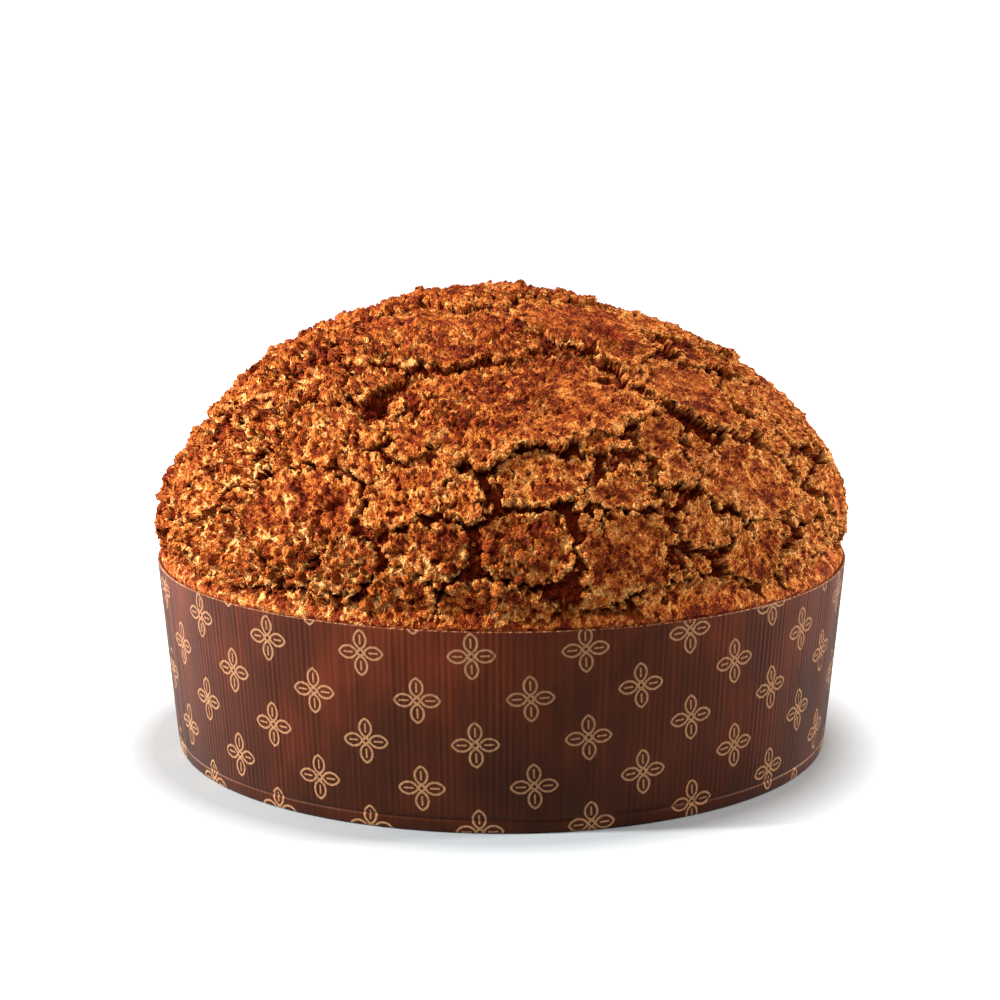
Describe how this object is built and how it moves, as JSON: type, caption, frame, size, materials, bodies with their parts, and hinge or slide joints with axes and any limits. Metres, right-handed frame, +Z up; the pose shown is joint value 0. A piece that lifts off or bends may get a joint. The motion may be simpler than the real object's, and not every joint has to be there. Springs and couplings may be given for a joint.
{
  "type": "panettone",
  "caption": "Low domed panettone with a cracked, crumbly nut glaze, standing in its flared brown paper baking mould with a gold flower print.",
  "frame": {"origin": "centre of the round mould's underside, on the surface it stands on", "axes": "+Z up through the loaf's crown, -Y towards the side the picture shows, +Y towards the wall's glued lap"},
  "size_m": [0.2226, 0.2226, 0.147],
  "materials": {
    "crust": "matte toasted nut and sugar glaze, tan plates with orange-brown crumbs and dark red-brown cracks",
    "printed_paper": "satin dark brown coated paper with vertical micro flutes and a gold flower print",
    "kraft_paper": "matte brown baking paper"
  },
  "bodies": {
    "root": {"loaf": "crust", "mould_wall": "printed_paper", "base_dish": "kraft_paper"}
  },
  "joints": []
}
